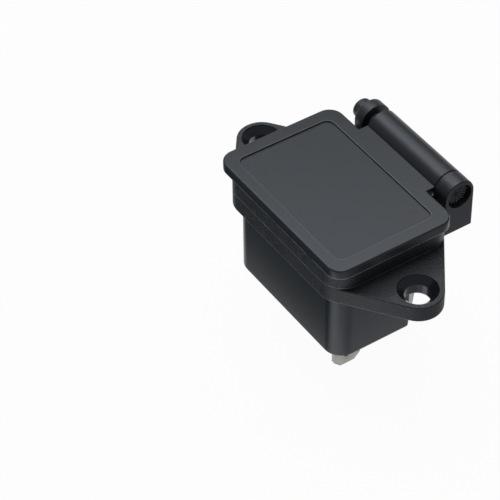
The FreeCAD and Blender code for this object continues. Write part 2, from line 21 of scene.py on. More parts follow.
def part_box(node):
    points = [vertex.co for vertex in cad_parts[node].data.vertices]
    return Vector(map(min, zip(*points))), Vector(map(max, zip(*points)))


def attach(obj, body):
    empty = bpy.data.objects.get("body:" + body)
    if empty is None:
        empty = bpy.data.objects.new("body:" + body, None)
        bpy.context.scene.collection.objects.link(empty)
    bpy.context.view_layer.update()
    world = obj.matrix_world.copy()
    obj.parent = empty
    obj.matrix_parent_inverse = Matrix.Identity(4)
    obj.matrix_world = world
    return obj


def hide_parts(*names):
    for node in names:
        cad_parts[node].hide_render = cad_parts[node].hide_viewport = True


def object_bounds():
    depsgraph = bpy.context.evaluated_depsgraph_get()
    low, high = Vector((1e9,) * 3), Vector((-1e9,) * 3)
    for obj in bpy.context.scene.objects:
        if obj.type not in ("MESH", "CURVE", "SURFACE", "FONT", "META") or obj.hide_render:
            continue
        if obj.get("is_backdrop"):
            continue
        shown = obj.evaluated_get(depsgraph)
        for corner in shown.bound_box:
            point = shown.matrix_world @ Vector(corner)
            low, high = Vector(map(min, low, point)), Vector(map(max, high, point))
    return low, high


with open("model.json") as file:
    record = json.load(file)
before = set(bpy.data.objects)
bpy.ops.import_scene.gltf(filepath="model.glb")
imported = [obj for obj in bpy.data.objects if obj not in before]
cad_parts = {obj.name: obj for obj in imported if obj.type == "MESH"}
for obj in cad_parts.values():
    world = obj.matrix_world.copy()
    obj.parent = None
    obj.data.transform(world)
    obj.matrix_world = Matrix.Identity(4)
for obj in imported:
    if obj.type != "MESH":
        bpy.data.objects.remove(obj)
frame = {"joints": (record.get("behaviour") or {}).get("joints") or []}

MM = 0.001
MICROMETRE = 1e-6
NEAR = 0.002  # two levels this close, in millimetres, count as one
JUST_PAST = 0.01  # how far beyond a level, in millimetres, is surely past it
PAST = 1.0  # how far a cutter or a root reaches beyond a face, in millimetres
CORNER_BEND = 0.8  # the bend in radians above which an edge is a square corner
CHAMFER_BEND = 0.5  # the bend in radians above which an edge is a chamfer's or a corner
MERGE_WITHIN = 0.0005  # corners closer than this, in millimetres, are one
FLAT_WITHIN = 0.05  # faces that bend less than this, in degrees, are one
PLANE_WITHIN = 1e-7  # how close to a cutting plane a corner lies in it, in metres
log = logging.getLogger("socket")


class Axis(Enum):
    """The directions that round bars run in."""

    X = Vector((1, 0, 0))
    Z = Vector((0, 0, 1))


class Part(Enum):
    """What a selection is made of in edit mode."""

    EDGES = "EDGE"
    FACES = "FACE"


class Join(Enum):
    """How one closed piece is worked into another."""

    FUSE = "UNION"
    CUT = "DIFFERENCE"


@dataclass(frozen=True)
class Spot:
    """One edge or face as a test sees it, in millimetres."""

    low: Vector
    high: Vector
    normal: Vector
    bend: float

    @property
    def middle(self) -> Vector:
        """The middle of the spot's own box."""
        return (self.low + self.high) / 2

    def level(self, axis: str, at: float) -> bool:
        """True if the whole spot lies in the plane where that axis is at one value."""
        return all(abs(getattr(end, axis) - at) < NEAR for end in (self.low, self.high))

    def rim(self, z: float) -> bool:
        """True for a square corner's edge that lies at one height."""
        return self.level("z", z) and self.bend > CORNER_BEND

    def upright(self) -> bool:
        """True for an edge that runs along Z."""
        flat = self.high - self.low
        return flat.x < NEAR and flat.y < NEAR and flat.z > NEAR


@dataclass
class Work:
    """One mesh piece on the bench, shaped by edit-mode operators on what is picked by place."""

    piece: bpy.types.Object

    @classmethod
    def take_new(cls, name: str) -> "Work":
        """Take up the primitive that was just added, with its place moved into its mesh.

        Args:
            name: The piece's name.

        Returns:
            The piece on the bench.
        """
        piece = bpy.context.active_object
        piece.name = name
        piece.data.name = name
        bpy.ops.object.transform_apply(location=True, rotation=True, scale=True)
        return cls(piece)

    @classmethod
    def block(cls, name: str, low: tuple, high: tuple) -> "Work":
        """A block between two corners given in millimetres.

        Args:
            name: The piece's name.
            low: Its lowest corner.
            high: Its highest corner.

        Returns:
            The block on the bench.
        """
        bpy.ops.object.select_all(action="DESELECT")
        a, b = Vector(low) * MM, Vector(high) * MM
        bpy.ops.mesh.primitive_cube_add(size=1, location=(a + b) / 2, scale=b - a)
        return cls.take_new(name)

    @classmethod
    def keyed(cls, name: str, half: tuple, levels: tuple, corner: tuple, cut: tuple) -> "Work":
        """An upright block with the inlet's outline: two round front corners, two cut back ones.

        Args:
            name: The piece's name.
            half: Half its width and half its depth, in millimetres.
            levels: Its lowest and highest level.
            corner: The ease of its front corners.
            cut: How far each cut reaches along X and along Y.

        Returns:
            The block on the bench.
        """
        x, y = half
        block = cls.block(name, (-x, -y, levels[0]), (x, y, levels[1]))
        block.pick(Part.EDGES, lambda s: s.upright() and s.low.y < 0).round(*corner)
        return block.cut_corners(x, y, cut)

    @classmethod
    def rod(cls, name: str, start: tuple, axis: Axis, length: float, radius: float,
            sides: int) -> "Work":
        """A round bar that runs from a point along one axis, in millimetres.

        Args:
            name: The piece's name.
            start: The middle of its first end.
            axis: The direction that it runs in.
            length: Its length, negative to run the other way.
            radius: Its radius.
            sides: How many flats its round side has.

        Returns:
            The bar on the bench.
        """
        bpy.ops.object.select_all(action="DESELECT")
        turn = axis.value.to_track_quat("Z", "Y").to_euler()
        middle = (Vector(start) + axis.value * length / 2) * MM
        bpy.ops.mesh.primitive_cylinder_add(vertices=sides, radius=radius * MM,
                                            depth=abs(length) * MM, location=middle, rotation=turn)
        return cls.take_new(name)

    @classmethod
    def hull(cls, name: str, *others: "Work") -> "Work":
        """One closed hull drawn tight round other pieces, which it uses up.

        Args:
            name: The piece's name.
            others: The pieces to draw it round.

        Returns:
            The hull on the bench.
        """
        bpy.ops.object.select_all(action="DESELECT")
        for other in others:
            other.piece.select_set(True)
        bpy.context.view_layer.objects.active = others[0].piece
        bpy.ops.object.join()
        whole = cls.take_new(name)
        whole.open_all()
        bpy.ops.mesh.convex_hull()
        return whole.close().tidy()

    def take_up(self) -> None:
        """Leave edit mode and make this the one piece that is selected and active."""
        if bpy.context.object and bpy.context.object.mode != "OBJECT":
            bpy.ops.object.mode_set(mode="OBJECT")
        bpy.ops.object.select_all(action="DESELECT")
        bpy.context.view_layer.objects.active = self.piece
        self.piece.select_set(True)

    def open_all(self) -> None:
        """Enter edit mode with everything picked."""
        self.take_up()
        bpy.ops.object.mode_set(mode="EDIT")
        bpy.ops.mesh.select_all(action="SELECT")

    def close(self) -> "Work":
        """Leave edit mode."""
        bpy.ops.object.mode_set(mode="OBJECT")
        return self

    def pick(self, part: Part, test: Callable[[Spot], bool]) -> "Work":
        """Enter edit mode with only what the test passes picked.

        Args:
            part: Edges or faces.
            test: Says for each one, in millimetres, whether it is picked.

        Returns:
            This piece, in edit mode.

        Raises:
            RuntimeError: If nothing passes the test.
        """
        self.take_up()
        bpy.ops.object.mode_set(mode="EDIT")
        bpy.ops.mesh.select_mode(type=part.value)
        bpy.ops.mesh.select_all(action="DESELECT")
        mesh = bmesh.from_edit_mesh(self.piece.data)
        mesh.normal_update()
        edges = part is Part.EDGES
        found = 0
        for item in mesh.edges if edges else mesh.faces:
            ends = [corner.co for corner in item.verts]
            low = Vector(min(c[i] for c in ends) for i in range(3)) / MM
            high = Vector(max(c[i] for c in ends) for i in range(3)) / MM
            normal = Vector() if edges else item.normal
            bend = item.calc_face_angle(0.0) if edges else 0.0
            item.select = test(Spot(low, high, normal, bend))
            found += item.select
        if not found:
            raise RuntimeError(f"{self.piece.name}: nothing is picked")
        mesh.select_flush_mode()
        bmesh.update_edit_mesh(self.piece.data)
        return self

    def extrude(self, move: tuple) -> "Work":
        """Draw the picked faces out by a move in millimetres."""
        bpy.ops.mesh.extrude_region_move(
            TRANSFORM_OT_translate={"value": Vector(move) * MM, "orient_type": "GLOBAL"})
        return self

    def scale(self, factors: tuple, about: tuple) -> "Work":
        """Scale what is picked about a point in millimetres."""
        bpy.ops.transform.resize(value=factors, orient_type="GLOBAL",
                                 center_override=Vector(about) * MM)
        return self

    def round(self, width: float, steps: int) -> "Work":
        """Bevel the picked edges by a width in millimetres, in so many steps."""
        bpy.ops.mesh.bevel(offset=width * MM, offset_type="OFFSET", segments=steps, profile=0.5,
                           affect="EDGES", clamp_overlap=False)
        return self.close()

    def ease(self, z: float, width: float, steps: int) -> "Work":
        """Round the square corners' edges that lie at one height."""
        return self.pick(Part.EDGES, lambda s: s.rim(z)).round(width, steps)

    def slice(self, at: tuple, normal: tuple, drop: bool = False) -> "Work":
        """Cut the whole piece along a plane, and drop the side that the normal points to if asked.

        Args:
            at: A point of the plane, in millimetres.
            normal: The plane's normal.
            drop: Whether that side is cleared and the cut closed.

        Returns:
            This piece, out of edit mode.
        """
        self.open_all()
        bpy.ops.mesh.bisect(plane_co=Vector(at) * MM, plane_no=normal, use_fill=drop,
                            clear_outer=drop, threshold=PLANE_WITHIN)
        return self.close()

    def cut_corners(self, x: float, y: float, cut: tuple) -> "Work":
        """Cut both back corners off an upright piece.

        Args:
            x: Half the width of the outline that is cut.
            y: How far back the outline reaches.
            cut: How far each cut reaches along X and along Y.

        Returns:
            This piece, out of edit mode.
        """
        along, across = cut
        for side in (-1, 1):
            self.slice((side * (x - along), y, 0), (side * across, along, 0), drop=True)
        return self

    def work_in(self, join: Join, *others: "Work") -> "Work":
        """Fuse other closed pieces into this one, or cut them out of it, and use them up.

        Args:
            join: Whether they are added or taken away.
            others: The pieces to work in.

        Returns:
            This piece.
        """
        for other in others:
            step = self.piece.modifiers.new(join.name.lower(), "BOOLEAN")
            step.operation = join.value
            step.solver = "EXACT"
            step.object = other.piece
            self.apply(step)
            bpy.data.objects.remove(other.piece)
        return self.tidy()

    def apply(self, step: bpy.types.Modifier) -> "Work":
        """Make one modifier's result the piece's own mesh."""
        self.take_up()
        bpy.ops.object.modifier_apply(modifier=step.name)
        return self

    def tidy(self) -> "Work":
        """Merge doubled corners and join faces that lie in one plane."""
        self.open_all()
        bpy.ops.mesh.remove_doubles(threshold=MERGE_WITHIN * MM)
        bpy.ops.mesh.dissolve_limited(angle_limit=math.radians(FLAT_WITHIN))
        return self.close()

    def face_out(self) -> "Work":
        """Turn every face to point out of the piece."""
        self.open_all()
        bpy.ops.mesh.normals_make_consistent(inside=False)
        return self.close()

    def finish(self, sharp_above: float = 32.0) -> bpy.types.Object:
        """Shade the piece smooth up to a bend and weigh its normals by its larger faces.

        Args:
            sharp_above: The bend in degrees above which an edge stays sharp.

        Returns:
            The finished piece.
        """
        self.face_out()
        bpy.ops.object.shade_smooth_by_angle(angle=math.radians(sharp_above))
        step = self.piece.modifiers.new("weigh", "WEIGHTED_NORMAL")
        step.keep_sharp = True
        step.weight = 60
        self.apply(step)
        return self.piece


@dataclass(frozen=True)
class Hinge:
    """The hinge line and what both halves of the hinge share, in millimetres."""

    y: float
    z: float
    radius: float = 2.65
    barrel_near: float = 8.2
    barrel_far: float = -8.53
    near_ear: float = 8.37
    far_ear: float = -9.81

    @classmethod
    def from_frame(cls) -> "Hinge":
        """The hinge where the frame's joint has it."""
        place = next(j for j in frame["joints"] if j["name"] == "cover_hinge")["pos_m"]
        return cls(y=place[1] / MM, z=place[2] / MM)

    def at(self, x: float) -> tuple:
        """The point of the hinge line at one X."""
        return (x, self.y, self.z)


@dataclass
class Housing:
    """The one-piece moulding: screw flange, collar, body, hinge ears and the keyed recess."""

    hinge: Hinge
    hole_spacing: float = 40.0
    hole_radius: float = 2.0
    sink_radius: float = 3.1
    flange: float = 2.75
    flange_ease: tuple = (0.2, 3)
    foot_ease: tuple = (0.14, 3)
    tip_radius: float = 3.87
    half_width: float = 10.65
    collar_half: float = 14.75
    collar_top: float = 6.05
    collar_corner: float = 3.9
    collar_ease: tuple = (0.35, 4)
    body_half: tuple = (13.35, 9.35)
    body_corner: tuple = (3.0, 12)
    body_cut: tuple = (5.534, 5.305)
    body_foot: float = -12.82
    body_ease: tuple = (0.5, 5)
    cut_ease: tuple = (0.2, 3)
    pad_foot: float = -13.42
    pad_half: tuple = (2.1, 3.1)
    pad_ease: tuple = (0.12, 2)
    recess_half: tuple = (12.2, 8.2)
    recess_floor: float = -10.65
    recess_corner: tuple = (1.5, 8)
    recess_ease: tuple = (0.3, 3)
    recess_reach: float = 0.1
    key_cut: tuple = (4.85, 4.65)
    near_face: float = 11.15
    far_face: float = -11.76
    ear_root: float = 0.75
    ear_slope: tuple = (0, -0.5, -1)
    slope_start: float = 0.07
    root_top: float = 5.5
    crown_steps: int = 20
    ear_ease: tuple = (0.28, 4)
    boss_radius: float = 1.65
    boss_root: float = 0.8
    boss_end: float = -13.71
    boss_ease: tuple = (0.45, 5)
    bore_lead: float = 0.4
    head_bore: tuple = (4.0, 2.1)
    end_bore: tuple = (-3.8, 1.225)
    blade_rows: tuple = ((-7.0, -2.0), (7.0, -2.0), (0.0, 2.0))
    slot_half: tuple = (1.02, 2.02)

    def corner_rods(self, low: float, high: float) -> list[Work]:
        """The four round corners that the collar and the flange share."""
        x, y = self.collar_half - self.collar_corner, self.half_width - self.collar_corner
        return [Work.rod("corner", (i * x, j * y, low), Axis.Z, high - low, self.collar_corner,
                         sides=72) for i in (-1, 1) for j in (-1, 1)]

    def flange_plate(self) -> Work:
        """The flange: four round corners and two round tips drawn into one hull, edges eased."""
        tips = [Work.rod("tip", (side * self.hole_spacing / 2, 0, 0), Axis.Z, self.flange,
                         self.tip_radius, sides=96) for side in (-1, 1)]
        plate = Work.hull("housing_moulding", *self.corner_rods(0, self.flange), *tips)
        return plate.ease(0, *self.foot_ease).ease(self.flange, *self.flange_ease)

    def collar(self) -> Work:
        """The collar round the recess, with a soft top edge."""
        block = Work.hull("collar", *self.corner_rods(PAST, self.collar_top))
        return block.ease(self.collar_top, *self.collar_ease)

    def block_at_blade(self, name: str, row: tuple, half: tuple, low: float, high: float) -> Work:
        """A block about one blade's place, between two levels.

        Args:
            name: The piece's name.
            row: The blade's place in X and Y.
            half: Half the block's width and depth.
            low: Its lowest level.
            high: Its highest level.

        Returns:
            The block on the bench.
        """
        (x, y), (wide, deep) = row, half
        return Work.block(name, (x - wide, y - deep, low), (x + wide, y + deep, high))

    def body(self) -> Work:
        """The body behind the panel, with the recess's outline and a raised pad at each blade."""
        foot, pad_foot = self.body_foot, self.pad_foot
        block = Work.keyed("body", self.body_half, (foot, PAST), self.body_corner, self.body_cut)
        block.pick(Part.EDGES, lambda s: s.upright() and s.low.y > 0 and s.bend > CHAMFER_BEND)
        block.round(*self.cut_ease).ease(foot, *self.body_ease)
        for row in self.blade_rows:
            pad = self.block_at_blade("pad", row, self.pad_half, pad_foot, foot + PAST)
            pad.pick(Part.EDGES, lambda s: s.upright() or s.level("z", pad_foot))
            block.work_in(Join.FUSE, pad.round(*self.pad_ease))
        return block

    def ears(self) -> Work:
        """The two hinge ears on the ledge that joins them: a bar drawn up at its two ends."""
        hinge = self.hinge
        front, back = hinge.y - hinge.radius, hinge.y + hinge.radius
        crown = hinge.z + hinge.radius
        bar = Work.block("ears", (self.far_face, self.half_width - self.ear_root, 0),
                         (self.near_face, back, self.flange))
        bar.slice((0, self.half_width - self.slope_start, 0), self.ear_slope, drop=True)
        for x in (hinge.far_ear, hinge.near_ear):
            bar.slice((x, 0, 0), (1, 0, 0))

        def on_top(spot: Spot, level: float) -> bool:
            outside = spot.middle.x < hinge.far_ear or spot.middle.x > hinge.near_ear
            return spot.level("z", level) and outside

        bar.pick(Part.FACES, lambda s: on_top(s, self.flange))
        bar.extrude((0, 0, self.root_top - self.flange)).close()
        bar.slice((0, front, 0), (0, 1, 0))
        bar.pick(Part.FACES, lambda s: on_top(s, self.root_top) and s.middle.y > front)
        bar.extrude((0, 0, crown - self.root_top)).close()
        bar.pick(Part.EDGES, lambda s: s.level("z", crown)
                 and (s.level("y", front) or s.level("y", back)))
        bar.round(hinge.radius, self.crown_steps).tidy()
        faces = (self.near_face, self.far_face)
        bar.pick(Part.EDGES, lambda s: any(s.level("x", x) for x in faces)
                 and s.bend > CORNER_BEND and s.high.z > self.flange + JUST_PAST
                 and s.high.y > self.half_width).round(*self.ear_ease)
        bar.pick(Part.EDGES, lambda s: s.rim(0) and s.high.y > self.half_width)
        return bar.round(*self.foot_ease)

    def boss(self) -> Work:
        """The far ear's closed boss, with its rounded end."""
        start = self.far_face + self.boss_root
        boss = Work.rod("boss", self.hinge.at(start), Axis.X, self.boss_end - start,
                        self.boss_radius, sides=48)
        boss.pick(Part.EDGES, lambda s: s.level("x", self.boss_end))
        return boss.round(*self.boss_ease)

    def recess(self) -> Work:
        """What the recess takes out: a block with two round and two cut corners."""
        levels = (self.recess_floor, self.collar_top + PAST)
        return Work.keyed("recess", self.recess_half, levels, self.recess_corner, self.key_cut)

    def screw_hole(self, side: int) -> Work:
        """What one countersunk hole takes out: a round bar that flares at its top.

        Args:
            side: -1 for the far hole, 1 for the near one.

        Returns:
            The cutter on the bench.
        """
        x = side * self.hole_spacing / 2
        sink = self.flange - (self.sink_radius - self.hole_radius)
        bore = Work.rod("hole", (x, 0, -PAST), Axis.Z, sink + PAST, self.hole_radius, sides=64)
        flare = PAST + self.flange - sink
        bore.pick(Part.FACES, lambda s: s.level("z", sink)).extrude((0, 0, flare))
        widen = (self.hole_radius + flare) / self.hole_radius
        return bore.scale((widen, widen, 1), (x, 0, sink + flare)).close()

    def ear_bores(self) -> tuple[Work, Work]:
        """What the pin's head and its far end take out of the two ears."""
        near, far = self.hinge.near_ear - self.bore_lead, self.hinge.far_ear + self.bore_lead
        return (Work.rod("head_bore", self.hinge.at(near), Axis.X, *self.head_bore, sides=72),
                Work.rod("end_bore", self.hinge.at(far), Axis.X, *self.end_bore, sides=48))

    def build(self) -> bpy.types.Object:
        """Fuse the blocks, cut the recess, holes and bores, and ease the rims.

        Returns:
            The finished moulding.
        """
        shell = self.flange_plate()
        ears = self.ears().work_in(Join.FUSE, self.boss())
        shell.work_in(Join.FUSE, self.collar(), self.body()).work_in(Join.FUSE, ears)
        shell.work_in(Join.CUT, self.recess(), self.screw_hole(-1), self.screw_hole(1))
        for row in self.blade_rows:
            slot = self.block_at_blade("slot", row, self.slot_half, self.pad_foot - PAST,
                                       self.recess_floor + PAST)
            shell.work_in(Join.CUT, slot)
        shell.work_in(Join.CUT, *self.ear_bores())
        x, y = (half + self.recess_reach for half in self.recess_half)
        shell.pick(Part.EDGES, lambda s: s.rim(self.collar_top)
                   and abs(s.middle.x) < x and abs(s.middle.y) < y)
        return shell.round(*self.recess_ease).finish()


@dataclass
class Cover:
    """The hinged lid: plate with its label recess, leaf, barrel, stop heel and centring rib."""

    hinge: Hinge
    half_length: float = 15.43
    front: float = -11.11
    back: float = 10.15
    underside: float = 6.05
    top: float = 7.715
    corner: tuple = (2.42, 12)
    top_ease: tuple = (0.3, 5)
    under_ease: tuple = (0.12, 3)
    leaf_root: float = 1.5
    label_margin: tuple = (2.3, 2.02, 2.42)
    label_corner: float = 1.26
    label_depth: float = 0.3
    label_floor_ease: tuple = (0.1, 3)
    label_rim_ease: tuple = (0.08, 3)
    label_inset: float = 1.0
    barrel_ease: tuple = (0.22, 4)
    pin_bore: float = 1.25
    spring_room: tuple = (1.9, 4.6)
    open_limit: float = 106.0
    collar_side: float = 10.65
    heel_root: float = 0.85
    heel_reach: float = 3.65
    heel: tuple = (8.0, 0.9)
    heel_ease: tuple = (0.1, 2)
    rib_half: tuple = (11.8, 7.8)
    rib_corner: tuple = (1.1, 6)
    rib_cut: tuple = (4.58, 4.43)
    rib_depth: float = 1.0
    rib_root: float = 0.6
    rib_wall: float = 1.2
    rib_ease: tuple = (0.15, 2)

    def plate(self) -> Work:
        """The lid plate with soft outer edges, and the leaf that reaches into the barrel."""
        plate = Work.block("lid_moulding", (-self.half_length, self.front, self.underside),
                           (self.half_length, self.back, self.top))
        plate.pick(Part.EDGES, Spot.upright).round(*self.corner)
        plate.ease(self.top, *self.top_ease).ease(self.underside, *self.under_ease)
        root = self.back - self.leaf_root
        leaf = Work.block("leaf", (self.hinge.barrel_far, root, self.underside),
                          (self.hinge.barrel_near, self.hinge.y, self.top))
        return plate.work_in(Join.FUSE, leaf)

    def label_recess(self) -> Work:
        """What the label recess takes out, with a rounded floor edge."""
        side, front, back = self.label_margin
        floor = self.top - self.label_depth
        block = Work.block("label", (-self.half_length + side, self.front + front, floor),
                           (self.half_length - side, self.back - back, self.top + PAST))
        block.pick(Part.EDGES, Spot.upright).round(self.label_corner, 8)
        return block.ease(floor, *self.label_floor_ease)

    def barrel(self) -> Work:
        """The barrel round the hinge line, with eased ends."""
        near, far = self.hinge.barrel_near, self.hinge.barrel_far
        barrel = Work.rod("barrel", self.hinge.at(far), Axis.X, near - far, self.hinge.radius,
                          sides=112)
        barrel.pick(Part.EDGES, lambda s: s.level("x", near) or s.level("x", far))
        return barrel.round(*self.barrel_ease)

    def stop_heel(self) -> Work:
        """The heel under the barrel that meets the collar's side when the lid is open."""
        hinge = self.hinge
        meets = math.degrees(math.acos((hinge.y - self.collar_side) / self.heel_reach))
        lean = math.radians(180 - meets - self.open_limit)
        width, thick = self.heel
        middle = (hinge.barrel_near + hinge.barrel_far) / 2
        start = hinge.radius * self.heel_root
        end = hinge.y + self.heel_reach
        heel = Work.block("heel", (middle - width / 2, hinge.y + start, hinge.z),
                          (middle + width / 2, end, hinge.z + thick))
        heel.pick(Part.EDGES, lambda s: s.high.y > end - JUST_PAST).round(*self.heel_ease)
        heel.piece.data.transform(Matrix.Translation(Vector(hinge.at(0)) * MM)
                                  @ Matrix.Rotation(-lean, 4, "X")
                                  @ Matrix.Translation(Vector(hinge.at(0)) * -MM))
        return heel

    def rib(self) -> Work:
        """The rib that drops into the recess, with the same two round and two cut corners."""
        x, y = self.rib_half
        low, wall = self.underside - self.rib_depth, self.rib_wall
        rib = Work.keyed("rib", self.rib_half, (low, self.underside + self.rib_root),
                         self.rib_corner, self.rib_cut)
        well = Work.block("well", (-x + wall, -y + wall, low - PAST),
                          (x - wall, y - wall, self.underside + 2 * PAST))
        well.cut_corners(x - wall / 2, y - wall, self.rib_cut)
        return rib.ease(low, *self.rib_ease).work_in(Join.CUT, well)

    def finish(self) -> "LidNylon":
        """The lid's finish, fitted to its label recess and its parting edge, where its painted
        highlight lines run.
        """
        side, front, back = self.label_margin
        low, high = self.front + front, self.back - back
        return LidNylon(self.top - self.label_depth, self.underside, (0.0, (low + high) / 2),
                        (self.half_length - side, (high - low) / 2), self.label_corner)

    def build(self) -> bpy.types.Object:
        """Fuse the lid's parts and cut its label recess and bores.

        Returns:
            The finished lid.
        """
        lid = self.plate()
        lid.work_in(Join.FUSE, self.barrel(), self.stop_heel(), self.rib())
        near, far = self.hinge.barrel_near, self.hinge.barrel_far
        radius, depth = self.spring_room
        start = self.hinge.at(far - PAST)
        lid.work_in(Join.CUT, self.label_recess(),
                    Work.rod("bore", start, Axis.X, near - far + 2 * PAST, self.pin_bore, sides=48),
                    Work.rod("room", start, Axis.X, depth + PAST, radius, sides=56))
        inset = self.label_inset
        lid.pick(Part.EDGES, lambda s: s.rim(self.top) and s.high.y < self.back - inset
                 and abs(s.middle.x) < self.half_length - inset and s.low.y > self.front + inset)
        return lid.round(*self.label_rim_ease).finish()


@dataclass
class HingePin:
    """The pin pressed into the near ear: a plain shaft with a splined head."""

    hinge: Hinge
    tip: float = -13.11
    tip_ease: tuple = (0.2, 3)
    shaft_radius: float = 1.2
    shaft_seat: float = 0.5
    face: float = 10.3
    face_ease: tuple = (0.05, 2)
    root_radius: float = 1.85
    ridge: float = 0.23
    ridges: int = 22
    flats_a_ridge: int = 3

    def finish(self) -> "PinAcetal":
        """The pin's finish, fitted to its head."""
        return PinAcetal((self.hinge.y, self.hinge.z), self.ridges)

    def build(self) -> bpy.types.Object:
        """Turn the shaft, then raise every third flat of its head into a ridge.

        Returns:
            The finished pin.
        """
        start = self.hinge.near_ear
        pin = Work.rod("pin_turning", self.hinge.at(self.tip), Axis.X,
                       start + self.shaft_seat - self.tip, self.shaft_radius, sides=48)
        pin.pick(Part.EDGES, lambda s: s.level("x", self.tip)).round(*self.tip_ease)
        flats = self.ridges * self.flats_a_ridge
        head = Work.rod("head", self.hinge.at(start), Axis.X, self.face - start,
                        self.root_radius, sides=flats)

        def raised(spot: Spot) -> bool:
            spoke = math.degrees(math.atan2(spot.normal.z, spot.normal.y)) / (360 / flats)
            return abs(spot.normal.x) < 0.5 and round(spoke - 0.5) % self.flats_a_ridge == 0

        head.pick(Part.FACES, raised)
        bpy.ops.mesh.extrude_region_shrink_fatten(
            TRANSFORM_OT_shrink_fatten={"value": self.ridge * MM})
        head.close()
        head.pick(Part.EDGES, lambda s: s.level("x", self.face) and s.bend > CORNER_BEND)
        return pin.work_in(Join.FUSE, head.round(*self.face_ease)).finish()


@dataclass
class CoverSpring:
    """The torsion spring in the barrel: coil, leg on the ledge and leg held in the barrel."""

    hinge: Hinge
    start: float = -9.17
    wire_radius: float = 0.2
    wire_sides: int = 14
    coil_radius: float = 1.55
    pitch: float = 0.65
    turns: int = 6
    turn_steps: int = 44
    foot: float = 2.78
    held_to: float = -1.73
    end_reach: float = 0.22
    sharp_above: float = 50.0

    def coil(self) -> Work:
        """A ring of wire wound about the hinge line, open at its two ends."""
        bpy.ops.object.select_all(action="DESELECT")
        bpy.ops.mesh.primitive_circle_add(vertices=self.wire_sides, radius=self.wire_radius * MM,
                                          location=(0, self.coil_radius * MM, 0))
        coil = Work.take_new("spring_winding")
        wind = coil.piece.modifiers.new("wind", "SCREW")
        wind.axis = "X"
        wind.angle = math.tau
        wind.screw_offset = self.pitch * MM
        wind.iterations = self.turns
        wind.steps = wind.render_steps = self.turn_steps
        coil.apply(wind).open_all()
        bpy.ops.transform.translate(value=Vector(self.hinge.at(self.start)) * MM)
        return coil.close()

    def build(self) -> bpy.types.Object:
        """Wind the coil, close its ends and draw its two legs out.

        Returns:
            The finished spring.
        """
        spring = self.coil()
        y, z = self.hinge.y + self.coil_radius, self.hinge.z
        end = self.start + self.pitch * self.turns

        def ring(spot: Spot, x: float) -> bool:
            across, aside = abs(spot.middle.x - x), abs(spot.middle.y - y)
            return spot.level("z", z) and max(across, aside) < self.end_reach

        spring.pick(Part.EDGES, lambda s: ring(s, self.start)).extrude((0, 0, self.foot - z))
        bpy.ops.mesh.edge_face_add()
        spring.close().pick(Part.EDGES, lambda s: ring(s, end))
        bpy.ops.mesh.edge_face_add()
        spring.close()
        held = Work.rod("held", (end - self.wire_radius, y, z), Axis.X,
                        self.held_to - end + self.wire_radius, self.wire_radius, self.wire_sides)
        return spring.face_out().work_in(Join.FUSE, held).finish(self.sharp_above)


@dataclass
class Contact:
    """One plated contact: a blade with a bevelled tip and a flat solder tab with an eye."""

    node: str
    half_turn: bool = False
    blade: tuple = (2.0, 4.0)
    blade_ease: tuple = (0.07, 2)
    tip_chamfer: float = 0.55
    tab: tuple = (0.8, 4.8)
    tab_ease: tuple = (0.06, 2)
    tab_length: float = 9.1
    tab_chamfer: float = 1.1
    eye_radius: float = 0.7
    eye_rise: float = 2.15
    eye_length: float = 2.0
    clear: float = 0.1

    def cut_eye(self, tab: Work, side: float, middle: float, foot: float) -> None:
        """Cut the long eye through the tab: two round ends and the slot between them.

        Args:
            tab: The tab on the bench.
            side: The tab's lowest X.
            middle: The eye's place along Y.
            foot: The tab's lowest level.
        """
        first = foot + self.eye_rise
        last = first + self.eye_length
        for z in (first, last):
            tab.work_in(Join.CUT, Work.rod("eye", (side - PAST, middle, z), Axis.X, 3 * PAST,
                                           self.eye_radius, sides=40))
        tab.work_in(Join.CUT, Work.block("slot", (side - PAST, middle - self.eye_radius, first),
                                         (side + 2 * PAST, middle + self.eye_radius, last)))

    def build(self) -> bpy.types.Object:
        """Shape the blade and the tab, fuse them, and turn the contact half round if it stands so.

        Returns:
            The finished contact.
        """
        low, high = (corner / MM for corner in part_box(self.node))
        if self.half_turn:
            low.xy, high.xy = -high.xy, -low.xy
        (thick, wide), (thin, broad) = self.blade, self.tab
        side, flush = low.x, high.y
        shoulder = low.z + self.tab_length
        clear = self.clear
        blade = Work.block(f"{self.node}_stamping", (side, flush - wide, shoulder),
                           (side + thick, flush, high.z))
        blade.pick(Part.EDGES, lambda s: s.level("z", high.z)).round(self.tip_chamfer, 1)
        blade.pick(Part.EDGES, lambda s: s.bend > CHAMFER_BEND and s.high.z > shoulder + clear)
        blade.round(*self.blade_ease)
        tab = Work.block("tab", (side, flush - broad, low.z), (side + thin, flush, shoulder))
        tab.pick(Part.EDGES, lambda s: s.level("z", low.z) and s.high.x - s.low.x > clear)
        tab.round(self.tab_chamfer, 1)
        tab.pick(Part.EDGES, lambda s: s.bend > CHAMFER_BEND and s.middle.z < shoulder - clear
                 and not s.high.x - s.low.x > clear).round(*self.tab_ease)
        self.cut_eye(tab, side, flush - broad / 2, low.z)
        blade.work_in(Join.FUSE, tab)
        if self.half_turn:
            blade.piece.data.transform(Matrix.Rotation(math.pi, 4, "Z"))
        return blade.finish()


